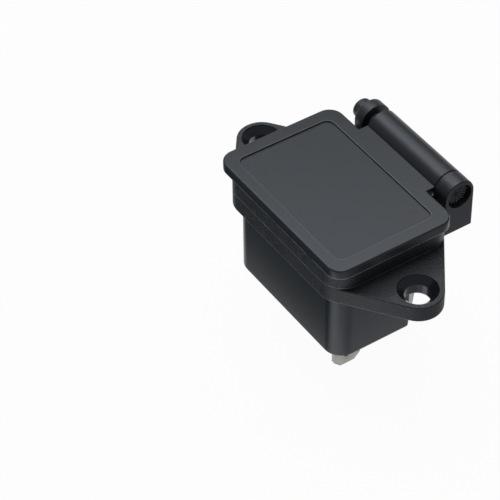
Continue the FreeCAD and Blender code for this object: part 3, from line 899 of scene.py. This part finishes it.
class Flow:
    """A shader value that Python can reckon with: each operator adds one Math node."""

    def __init__(self, tree: bpy.types.NodeTree, socket: bpy.types.NodeSocket) -> None:
        """Wrap one output socket of a node tree."""
        self.tree = tree
        self.socket = socket

    @staticmethod
    def reckon(tree: bpy.types.NodeTree, operation: str, *terms: "Flow | float") -> "Flow":
        """Add one Math node on the given terms.

        Args:
            tree: The node tree to add it to.
            operation: The Math node's operation.
            terms: Its inputs in order, values or numbers.

        Returns:
            The node's value.
        """
        node = tree.nodes.new("ShaderNodeMath")
        node.operation = operation
        for place, term in zip(node.inputs, terms):
            if isinstance(term, Flow):
                tree.links.new(term.socket, place)
            else:
                place.default_value = term
        return Flow(tree, node.outputs[0])

    def __add__(self, other: "Flow | float") -> "Flow":
        """This value plus another."""
        return self.reckon(self.tree, "ADD", self, other)

    __radd__ = __add__

    def __mul__(self, other: "Flow | float") -> "Flow":
        """This value times another."""
        return self.reckon(self.tree, "MULTIPLY", self, other)

    __rmul__ = __mul__

    def __sub__(self, other: "Flow | float") -> "Flow":
        """This value less another."""
        return self.reckon(self.tree, "SUBTRACT", self, other)

    def __rsub__(self, other: float) -> "Flow":
        """A number less this value."""
        return self.reckon(self.tree, "SUBTRACT", other, self)

    def __pow__(self, power: float) -> "Flow":
        """This value to a power."""
        return self.reckon(self.tree, "POWER", self, power)

    def size(self) -> "Flow":
        """This value without its sign."""
        return (self ** 2.0) ** 0.5

    def step(self, low: float, high: float) -> "Flow":
        """A mask that rises smoothly from 0 at low to 1 at high, or falls if low is the larger.

        Args:
            low: Where the mask is 0.
            high: Where it is 1.

        Returns:
            The mask.
        """
        node = self.tree.nodes.new("ShaderNodeMapRange")
        node.interpolation_type = "SMOOTHSTEP"
        ends = (high, low, 1.0, 0.0) if low > high else (low, high, 0.0, 1.0)
        for place, number in zip(node.inputs[1:5], ends):
            place.default_value = number
        self.tree.links.new(self.socket, node.inputs[0])
        return Flow(self.tree, node.outputs[0])

    def band(self, at: float, half: float) -> "Flow":
        """One at a value, falling to nothing at half a width on either side."""
        return self.step(at - half, at) * (1 - self.step(at, at + half))


class Recipe:
    """The node tree of one material or of the world, from its coordinates to its shader."""

    def __init__(self, owner: bpy.types.Material | bpy.types.World, output: str) -> None:
        """Empty the owner's tree and start it with only its output.

        Args:
            owner: The material or the world.
            output: The type of its output node.
        """
        owner.use_nodes = True
        self.owner = owner
        self.tree = owner.node_tree
        self.tree.nodes.clear()
        self.output = self.node(output)

    @classmethod
    def of(cls, name: str) -> "Recipe":
        """The recipe of a new material."""
        return cls(bpy.data.materials.new(name), "ShaderNodeOutputMaterial")

    @cached_property
    def place(self) -> bpy.types.NodeSocket:
        """The surface's own coordinates."""
        return self.node("ShaderNodeTexCoord").outputs["Object"]

    def node(self, kind: str, settings: dict | None = None,
             sockets: dict | None = None) -> bpy.types.Node:
        """Add a node, set it up, then give its sockets their values or links.

        Args:
            kind: The node's type.
            settings: Its properties, set first.
            sockets: Values, sockets or Flows by socket name or number.

        Returns:
            The node.
        """
        node = self.tree.nodes.new(kind)
        for name, setting in (settings or {}).items():
            setattr(node, name, setting)
        for name, given in (sockets or {}).items():
            if isinstance(given, Flow):
                given = given.socket
            if isinstance(given, bpy.types.NodeSocket):
                self.tree.links.new(given, node.inputs[name])
            else:
                node.inputs[name].default_value = given
        return node

    def flow(self, socket: bpy.types.NodeSocket) -> Flow:
        """The socket as a value to reckon with."""
        return Flow(self.tree, socket)

    def axis(self, name: str) -> Flow:
        """One coordinate of the surface in millimetres."""
        split = self.node("ShaderNodeSeparateXYZ", None, {0: self.place})
        return self.flow(split.outputs[name]) * (1 / MM)

    def noise(self, size: float, detail: float, rough: float,
              stretch: tuple = (1.0, 1.0, 1.0)) -> Flow:
        """Noise whose features have about the given size in millimetres, from 0 to 1.

        Args:
            size: The size of its features.
            detail: How many finer layers it has.
            rough: How strong they are.
            stretch: How much longer its features are along each axis.

        Returns:
            The noise.
        """
        at = self.node("ShaderNodeVectorMath", {"operation": "MULTIPLY"},
                       {0: self.place, 1: tuple(1 / s for s in stretch)})
        node = self.node("ShaderNodeTexNoise", None,
                         {"Vector": at.outputs[0], "Scale": 1 / (size * MM), "Detail": detail,
                          "Roughness": rough})
        return self.flow(node.outputs["Fac"])

    def bump(self, height: Flow, depth: float,
             under: bpy.types.NodeSocket | None = None) -> bpy.types.NodeSocket:
        """A normal bent by a height.

        Args:
            height: The height, from 0 to 1.
            depth: What a height of 1 stands for, in micrometres.
            under: The normal that it bends, or none for the surface's own.

        Returns:
            The bent normal.
        """
        sockets = {"Height": height, "Distance": depth * MICROMETRE, "Strength": 1.0}
        if under is not None:
            sockets["Normal"] = under
        return self.node("ShaderNodeBump", None, sockets).outputs["Normal"]

    def blend(self, factor: Flow, first: tuple | bpy.types.NodeSocket,
              second: tuple) -> bpy.types.NodeSocket:
        """A colour between two.

        Args:
            factor: How much of the second shows, from 0 to 1.
            first: The first colour, or the socket that gives it.
            second: The second colour.

        Returns:
            The blended colour.
        """
        if isinstance(first, tuple):
            first = (*first, 1.0)
        node = self.node("ShaderNodeMix", {"data_type": "RGBA"},
                         {0: factor, 6: first, 7: (*second, 1.0)})
        return node.outputs[2]

    def close(self, shader: bpy.types.Node) -> bpy.types.Material | bpy.types.World:
        """Send a shader to the output."""
        self.tree.links.new(shader.outputs[0], self.output.inputs["Surface"])
        return self.owner

    def shade(self, fixed: dict, **varying: "Flow | bpy.types.NodeSocket") -> bpy.types.Material:
        """Close the material with a Principled shader.

        Args:
            fixed: Numbers set on the shader's own sockets, by socket name.
            varying: Links for Base_Color, Roughness, Normal and the like.

        Returns:
            The material.
        """
        sockets = dict(fixed)
        sockets.update({name.replace("_", " "): given for name, given in varying.items()})
        return self.close(self.node("ShaderNodeBsdfPrincipled", None, sockets))


@dataclass(frozen=True)
class HousingNylon:
    """Black nylon: spark-eroded grain in front of the panel face, satin on body and ears.

    A line is where a band lies and half its width, and a fade is where it starts and ends, in
    millimetres. Painted highlight lines run along the panel face and the foot of the collar, and
    painted glints, pale flecks of the grain, keep to a narrow band at that foot. The countersinks
    are held at the darkest tone as painted shade.
    """

    colour: tuple = (0.010, 0.0125, 0.0160)
    # the pale end of the random tone, and the colour of the painted glints
    pale: tuple = (0.24, 0.26, 0.28)
    # the colour of the painted highlight lines
    highlight_colour: tuple = (0.46, 0.48, 0.51)
    specular: float = 0.95
    sheen_tint: tuple = (0.86, 0.92, 1.0, 1.0)
    satin: float = 0.35
    grain_size: float = 0.30
    grain_depth: float = 130.0
    fine_depth: float = 1.6
    # the countersinks: grainless and smoother, and darkened to the base tone as painted shade
    screw: tuple = (20.0, 3.1)
    screw_fade: float = 0.15
    ear_fade: tuple = (10.9, 11.2)
    ear_calm: float = 0.75
    face_fade: tuple = (-0.05, 0.05)
    # painted highlight lines: along the panel face and, fainter, along the collar's foot
    face_line: tuple = (0.09, 0.09)
    foot_line: tuple = (2.94, 0.09)
    foot_highlight: float = 0.6
    # painted glints: their band at the collar's foot and the share of the grain that turns pale
    glint_line: tuple = (3.0, 0.1)
    glint_fade: tuple = (0.50, 0.72)
    # breaks the painted highlight lines into dashes
    highlight_break_fade: tuple = (0.22, 0.52)

    def make(self) -> bpy.types.Material:
        """Build the material's nodes."""
        recipe = Recipe.of("housing_nylon")
        x, y, z = (recipe.axis(name) for name in "XYZ")
        ears = y.step(*self.ear_fade)
        spacing, reach = self.screw
        from_screw = ((x.size() - spacing) ** 2.0 + y ** 2.0) ** 0.5
        # the countersinks, grainless and smoother, and held at the darkest tone as painted shade
        hole = 1 - from_screw.step(reach - self.screw_fade, reach)
        coarse = z.step(*self.face_fade) * (1 - ears * self.ear_calm) * (1 - hole)
        # painted highlight lines along the panel face and the collar's foot
        edge = z.band(*self.face_line) + z.band(*self.foot_line) * self.foot_highlight
        grain = recipe.noise(self.grain_size, 3.0, 0.65)
        cloud = recipe.noise(5.0, 3.0, 0.6)
        fine = recipe.noise(0.07, 2.0, 0.5)
        normal = recipe.bump(fine, self.fine_depth)
        normal = recipe.bump(grain * coarse, self.grain_depth, normal)
        rough = (self.satin + coarse * 0.13 + ears * 0.08 - hole * 0.12
                 + (cloud - 0.5) * 0.10 + (grain - 0.5) * 0.12)
        # painted glints: pale flecks of the grain in a narrow band at the collar's foot
        glint_band = z.band(*self.glint_line).step(0.0, 0.3)
        painted_glints = (grain.step(*self.glint_fade) * coarse * glint_band) ** 2.0
        # random tone, the painted glints, and the countersinks' painted shade
        tint = cloud * 0.03 + painted_glints - hole * 0.3
        # painted highlight: the pale lines, broken by noise and kept off the ears
        highlight_mask = edge * (1 - ears) * recipe.noise(0.6, 3.0, 0.6).step(*self.highlight_break_fade)
        colour = recipe.blend(tint.step(0.0, 1.0), self.colour, self.pale)
        return recipe.shade({"Specular IOR Level": self.specular, "Specular Tint": self.sheen_tint},
                            Base_Color=recipe.blend(highlight_mask, colour, self.highlight_colour), Roughness=rough,
                            Normal=normal)


@dataclass(frozen=True)
class LidNylon:
    """Black nylon of the lid: even satin with very fine grain, smoother round the label recess,
    with painted highlight lines along its parting edge and round the label recess's rim.
    """

    label_level: float
    parting_level: float
    label_middle: tuple
    label_half: tuple
    label_corner: float
    colour: tuple = (0.018, 0.0205, 0.025)
    pale: tuple = (0.024, 0.0275, 0.033)
    # the colour of the painted highlight lines
    highlight_colour: tuple = (0.50, 0.52, 0.55)
    specular: float = 0.7
    sheen_tint: tuple = (0.86, 0.92, 1.0, 1.0)
    satin: float = 0.36
    grain_depth: float = 3.0
    fine_depth: float = 1.0
    rim_fade: tuple = (0.05, 0.2)
    barrel_fade: tuple = (11.2, 11.7)
    # painted highlight lines: along the parting edge and round the label recess's rim, broken into
    # dashes by a fade of noise
    parting_half: float = 0.1
    label_line: tuple = (0.08, 0.1)
    label_highlight: float = 0.22
    highlight_break_fade: tuple = (0.3, 0.55)

    def from_label(self, recipe: Recipe) -> Flow:
        """How far outside the label recess's edge the surface lies, in millimetres.

        Args:
            recipe: The lid's recipe.

        Returns:
            The distance, less than 0 inside the recess.
        """
        beyond = []
        for name, middle, half in zip("XY", self.label_middle, self.label_half):
            away = (recipe.axis(name) - middle).size() - (half - self.label_corner)
            beyond.append(Flow.reckon(recipe.tree, "MAXIMUM", away, 0.0))
        return (beyond[0] ** 2.0 + beyond[1] ** 2.0) ** 0.5 - self.label_corner

    def make(self) -> bpy.types.Material:
        """Build the material's nodes."""
        recipe = Recipe.of("lid_nylon")
        cloud = recipe.noise(7.0, 3.0, 0.6)
        grain = recipe.noise(0.16, 3.0, 0.6)
        fine = recipe.noise(0.06, 1.0, 0.5)
        normal = recipe.bump(grain, self.grain_depth, recipe.bump(fine, self.fine_depth))
        rim = recipe.axis("Z").step(*(self.label_level + rise for rise in self.rim_fade))
        barrel = recipe.axis("Y").step(*self.barrel_fade)
        rough = (self.satin - rim * 0.06 + barrel * 0.10
                 + (cloud - 0.5) * 0.08 + (grain - 0.5) * 0.06)
        # painted highlight along the parting edge, broken by noise, and round the label recess's
        # rim
        parting = recipe.axis("Z").band(self.parting_level + self.parting_half, self.parting_half)
        highlight_mask = parting * recipe.noise(0.8, 3.0, 0.6).step(*self.highlight_break_fade)
        highlight_mask = highlight_mask + self.from_label(recipe).band(*self.label_line) * rim * self.label_highlight
        colour = recipe.blend(cloud, self.colour, self.pale)
        return recipe.shade({"Specular IOR Level": self.specular, "Specular Tint": self.sheen_tint},
                            Base_Color=recipe.blend(highlight_mask, colour, self.highlight_colour), Roughness=rough,
                            Normal=normal)


@dataclass(frozen=True)
class PinAcetal:
    """Black acetal of the hinge pin, with the drag marks of pressing in, and pale spokes on its
    head as painted highlight.
    """

    centre: tuple
    ridges: int
    colour: tuple = (0.022, 0.0235, 0.027)
    # the colour of the painted highlight on the head's ridge spokes
    pale: tuple = (0.30, 0.31, 0.33)
    specular: float = 0.35
    satin: float = 0.42
    spoke_depth: float = 90.0
    spoke_wander: float = 6.0
    drag_depth: float = 12.0
    # how much of the drag marks and spokes turns to painted highlight
    ridge_highlight_fade: tuple = (0.1, 0.75)

    def make(self) -> bpy.types.Material:
        """Build the nodes: drag marks, and on the head the spokes of its broached ridges, pale as
        painted highlight.
        """
        recipe = Recipe.of("pin_acetal")
        y, z = (recipe.axis(name) - middle for name, middle in zip("YZ", self.centre))
        turn = Flow.reckon(recipe.tree, "ARCTAN2", z, y) * self.ridges
        turn = turn + recipe.noise(0.5, 2.0, 0.6) * self.spoke_wander
        spoke = Flow.reckon(recipe.tree, "SINE", turn) * 0.5 + 0.5
        drag = recipe.noise(0.12, 3.0, 0.6, (8.0, 1.0, 1.0))
        cloud = recipe.noise(1.5, 2.0, 0.5)
        normal = recipe.bump(spoke, self.spoke_depth, recipe.bump(drag, self.drag_depth))
        rough = self.satin + (cloud - 0.5) * 0.14 + (drag - 0.5) * 0.2
        # painted highlight: the ridge spokes, broken by the drag marks, turn pale
        colour = recipe.blend((drag * spoke).step(*self.ridge_highlight_fade), self.colour, self.pale)
        return recipe.shade({"Specular IOR Level": self.specular}, Base_Color=colour,
                            Roughness=rough, Normal=normal)


@dataclass(frozen=True)
class SpringWire:
    """Drawn spring steel with fine die lines and a film of oil."""

    colour: tuple = (0.30, 0.30, 0.31)
    dark: tuple = (0.16, 0.155, 0.15)
    satin: float = 0.3
    line_depth: float = 1.5

    def make(self) -> bpy.types.Material:
        """Build the material's nodes."""
        recipe = Recipe.of("spring_wire")
        lines = recipe.noise(0.05, 2.0, 0.6)
        stain = recipe.noise(0.9, 3.0, 0.6)
        rough = self.satin + (stain - 0.5) * 0.2 + (lines - 0.5) * 0.1
        return recipe.shade({"Metallic": 1.0}, Roughness=rough,
                            Base_Color=recipe.blend(stain, self.dark, self.colour),
                            Normal=recipe.bump(lines, self.line_depth))


@dataclass(frozen=True)
class NickelPlate:
    """Satin nickel over brass, brushed along the blade and faintly warm where it is thin."""

    colour: tuple = (0.33, 0.33, 0.30)
    warm: tuple = (0.24, 0.235, 0.20)
    satin: float = 0.3
    brush_depth: float = 1.2
    warm_fade: tuple = (0.3, 0.8)

    def make(self) -> bpy.types.Material:
        """Build the material's nodes."""
        recipe = Recipe.of("nickel_plate")
        brushed = recipe.noise(0.06, 3.0, 0.6, (1.0, 1.0, 14.0))
        stain = recipe.noise(1.8, 4.0, 0.6)
        rough = self.satin + (brushed - 0.5) * 0.22 + (stain - 0.5) * 0.14
        colour = recipe.blend(stain.step(*self.warm_fade), self.colour, self.warm)
        return recipe.shade({"Metallic": 1.0}, Base_Color=colour, Roughness=rough,
                            Normal=recipe.bump(brushed, self.brush_depth))


@dataclass(frozen=True)
class StudioFloor:
    """Pale paper that keeps the object's soft shadow.

    A fade is where it starts and ends, in millimetres. The gloss sees painted reflection: a dark
    patch painted on the paper between its fades in X and Y, where nothing stands, and painted shade
    beside the short wall and beyond it.
    """

    colour: tuple = (0.86, 0.86, 0.86)
    fibre: float = 0.985
    lift: float = 0.96
    # painted reflection: the tint of the dark patch and of the painted shade in the gloss
    reflected_shade_tint: tuple = (0.045, 0.062, 0.074)
    # where the painted dark patch lies, seen only in the gloss
    dark_patch_x: tuple = ((-173.0, -170.0), (3.0, 14.0))
    dark_patch_y: tuple = ((-153.0, -150.0), (-15.4, -13.4))
    # painted shade in the gloss beside the short wall, and beyond it
    side_shade_fades: tuple = ((9.0, 14.0), (-13.0, -7.0))
    side: float = 0.62
    far_shade_fade: tuple = (20.0, 28.0)
    far_shade_loss: float = 0.55

    def painted_reflection(self, recipe: Recipe) -> Flow:
        """How white the paper is in the gloss, with its painted dark patch and painted shade.

        Args:
            recipe: The floor's recipe.

        Returns:
            Its brightness, where 1 is white.
        """
        x, y = recipe.axis("X"), recipe.axis("Y")
        across = x.step(*self.dark_patch_x[0]) * (1 - x.step(*self.dark_patch_x[1]))
        along = y.step(*self.dark_patch_y[0]) * (1 - y.step(*self.dark_patch_y[1]))
        beside = x.step(*self.side_shade_fades[0]) * y.step(*self.side_shade_fades[1])
        beyond = 1 - x.step(*self.far_shade_fade) * self.far_shade_loss
        return (1 - across * along) * (1 - beside * (1 - self.side)) * beyond

    def make(self) -> bpy.types.Material:
        """Build the nodes: paper, which the eye and clear pieces see over plain white, and which
        the gloss sees as painted reflection only.
        """
        recipe = Recipe.of("studio_floor")
        path = recipe.node("ShaderNodeLightPath")
        camera, glossy, clear = (recipe.flow(path.outputs[f"Is {kind} Ray"])
                                 for kind in ("Camera", "Glossy", "Transmission"))
        tone = recipe.blend(recipe.noise(40.0, 2.0, 0.5), self.colour,
                            tuple(c * self.fibre for c in self.colour))
        paper = recipe.node("ShaderNodeBsdfDiffuse", None, {"Color": tone})
        # painted reflection: white in the gloss, dimmed by the painted dark patch and shade
        shown = recipe.blend(1 + glossy * (self.painted_reflection(recipe) - 1), self.reflected_shade_tint,
                             (1.0, 1.0, 1.0))
        white = recipe.node("ShaderNodeEmission", None, {"Color": shown, "Strength": 1.0})
        share = (camera + clear) * self.lift + glossy
        return recipe.close(recipe.node("ShaderNodeMixShader", None,
                                        {0: share, 1: paper.outputs[0], 2: white.outputs[0]}))


def way_to(azimuth: float, elevation: float) -> Vector:
    """The way from the object to a place.

    Args:
        azimuth: Degrees round it: 0 in front, towards -Y, and 90 towards +X.
        elevation: Degrees above it.

    Returns:
        A vector one long.
    """
    turn, rise = math.radians(azimuth), math.radians(elevation)
    return Vector((math.sin(turn) * math.cos(rise), -math.cos(turn) * math.cos(rise),
                   math.sin(rise)))


@dataclass(frozen=True)
class Softbox:
    """A soft rectangular lamp that faces the object, where a radiance of 1 is white, in metres."""

    name: str
    azimuth: float
    elevation: float
    radiance: float
    size: tuple
    distance: float

    def build(self) -> None:
        """Place the lamp in the scene."""
        data = bpy.data.lights.new(self.name, "AREA")
        data.shape = "RECTANGLE"
        data.size, data.size_y = self.size
        data.energy = self.radiance * math.pi * self.size[0] * self.size[1]
        lamp = bpy.data.objects.new(self.name, data)
        bpy.context.scene.collection.objects.link(lamp)
        way = way_to(self.azimuth, self.elevation)
        lamp.location = way * self.distance
        lamp.rotation_euler = way.to_track_quat("Z", "Y").to_euler()


@dataclass
class Studio:
    """The floor, the soft lamps, the pale surroundings and the camera."""

    azimuth: float = 56.85
    elevation: float = 43.66
    roll: float = -0.819
    distance: float = 333.62
    offset: tuple = (-12.921, -3.842)
    lens: float = 161.25
    sensor: float = 36.0
    clip_start: float = 0.01
    ambient: float = 0.18
    floor_size: float = 4.0
    floor_gap: float = 0.00002
    lamps: tuple = (Softbox("back_softbox", 236.85, 52, 2.1, (0.36, 0.112), 0.4),
                    Softbox("upper_softbox", 236.85, 75, 0.6, (0.36, 0.1), 0.4),
                    Softbox("left_softbox", -75, 55, 2.0, (0.3, 0.3), 0.7),
                    Softbox("top_softbox", 236.85, 88, 2.8, (0.4, 0.4), 0.7))

    def floor(self) -> None:
        """A wide floor under the object's lowest point."""
        low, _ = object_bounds()
        bpy.ops.object.select_all(action="DESELECT")
        bpy.ops.mesh.primitive_plane_add(size=self.floor_size,
                                         location=(0, 0, low[2] - self.floor_gap))
        floor = bpy.context.active_object
        floor.name = "studio_floor"
        floor.data.materials.append(StudioFloor().make())
        floor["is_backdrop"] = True

    def surroundings(self) -> None:
        """A dim even world, white where the eye or a clear piece looks into it."""
        world = bpy.data.worlds.new("surroundings")
        bpy.context.scene.world = world
        recipe = Recipe(world, "ShaderNodeOutputWorld")
        path = recipe.node("ShaderNodeLightPath")
        seen = Flow.reckon(recipe.tree, "MAXIMUM", recipe.flow(path.outputs["Is Camera Ray"]),
                           recipe.flow(path.outputs["Is Transmission Ray"]))
        strength = seen * (1.0 - self.ambient) + self.ambient
        recipe.close(recipe.node("ShaderNodeBackground", None, {"Strength": strength}))

    def camera(self) -> None:
        """The camera, turned about its own line of sight by the roll."""
        turn, roll = math.radians(self.azimuth), math.radians(self.roll)
        back = way_to(self.azimuth, self.elevation)
        right = Vector((math.cos(turn), math.sin(turn), 0))
        up = back.cross(right)
        across = right * math.cos(roll) + up * math.sin(roll)
        above = up * math.cos(roll) - right * math.sin(roll)
        place = (back * self.distance + across * self.offset[0] + above * self.offset[1]) * MM
        data = bpy.data.cameras.new("camera")
        data.lens, data.sensor_width, data.clip_start = self.lens, self.sensor, self.clip_start
        camera = bpy.data.objects.new("camera", data)
        bpy.context.scene.collection.objects.link(camera)
        facing = Matrix((across, above, back)).transposed().to_4x4()
        camera.matrix_world = Matrix.Translation(place) @ facing
        bpy.context.scene.camera = camera

    def build(self) -> None:
        """Set up the whole studio."""
        self.floor()
        self.surroundings()
        for lamp in self.lamps:
            lamp.build()
        self.camera()
        bpy.context.scene.view_settings.view_transform = "Standard"


def dress(piece: bpy.types.Object, material: bpy.types.Material, body: str, node: str) -> None:
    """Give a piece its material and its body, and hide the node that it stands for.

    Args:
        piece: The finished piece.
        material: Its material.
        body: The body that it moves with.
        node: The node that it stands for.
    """
    piece.data.materials.clear()
    piece.data.materials.append(material)
    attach(piece, body)
    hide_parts(node)
    low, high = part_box(node)
    log.info("%s stands for %s: %d faces, node %s mm", piece.name, node, len(piece.data.polygons),
             [round(c / MM, 2) for c in high - low])


def main() -> None:
    """Build every piece in order, then the studio."""
    logging.basicConfig(level=logging.INFO, format="%(name)s: %(message)s", force=True)
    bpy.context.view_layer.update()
    hinge = Hinge.from_frame()
    nylon, nickel = HousingNylon().make(), NickelPlate().make()
    dress(Housing(hinge).build(), nylon, "housing", "housing")
    lid, pin = Cover(hinge), HingePin(hinge)
    dress(lid.build(), lid.finish().make(), "cover", "cover")
    dress(pin.build(), pin.finish().make(), "housing", "hinge_pin")
    dress(CoverSpring(hinge).build(), SpringWire().make(), "housing", "cover_spring")
    for node, half_turn in (("line_contact", True), ("neutral_contact", False),
                            ("earth_contact", False)):
        dress(Contact(node, half_turn).build(), nickel, "housing", node)
    Studio().build()


if __name__ == "__main__":
    main()
